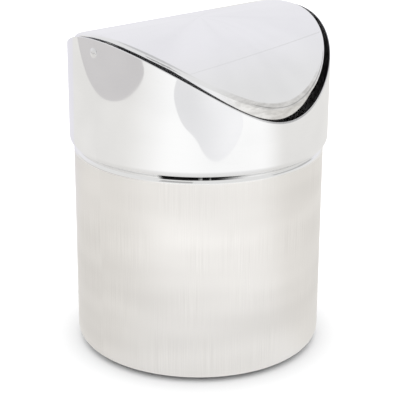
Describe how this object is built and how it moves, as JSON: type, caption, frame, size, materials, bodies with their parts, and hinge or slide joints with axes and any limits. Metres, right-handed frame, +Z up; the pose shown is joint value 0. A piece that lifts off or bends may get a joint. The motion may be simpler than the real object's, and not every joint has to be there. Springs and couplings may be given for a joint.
{
  "type": "push top countertop bin",
  "caption": "Small round steel countertop bin with a lift-off hood, cut to an arch, and an arched flap that pushes in on either side.",
  "frame": {"origin": "on the surface the bin stands on, under the middle of the can", "axes": "+Z up along the can's axis; X along the flap's rivets; -Y to the front, the side shown nearest in the picture's right half"},
  "size_m": [0.1256, 0.124, 0.1607],
  "materials": {
    "brushed_can": "fine brushed stainless steel, with a polished rim",
    "polished_hood": "mirror polished stainless steel",
    "polished_flap": "mirror polished stainless steel",
    "satin_ring": "satin stainless steel",
    "satin_plate": "satin stainless steel",
    "rivet_steel": "bright stainless steel",
    "washer_steel": "plain stainless steel",
    "spacer_nylon": "natural nylon",
    "foot_rubber": "matte black rubber"
  },
  "bodies": {
    "can": {"can_shell": "brushed_can", "foot_ring": "foot_rubber"},
    "hood": {"hood_shell": "polished_hood", "plug_ring": "satin_ring", "rivet_left": "rivet_steel", "rivet_right": "rivet_steel", "spacer_left": "spacer_nylon", "spacer_right": "spacer_nylon", "washer_left": "washer_steel", "washer_right": "washer_steel"},
    "flap": {"flap_panel": "polished_flap", "ear_plate_left": "satin_plate", "ear_plate_right": "satin_plate"}
  },
  "joints": [
    {"name": "hood_lift", "type": "slide", "parent": "can", "child": "hood", "axis": [0, 0, 1], "range_m": [0, 0.03]},
    {"name": "flap_swing", "type": "hinge", "parent": "hood", "child": "flap", "pos_m": [0, 0, 0.1531], "axis": [1, 0, 0], "range_deg": [-80, 80]}
  ]
}
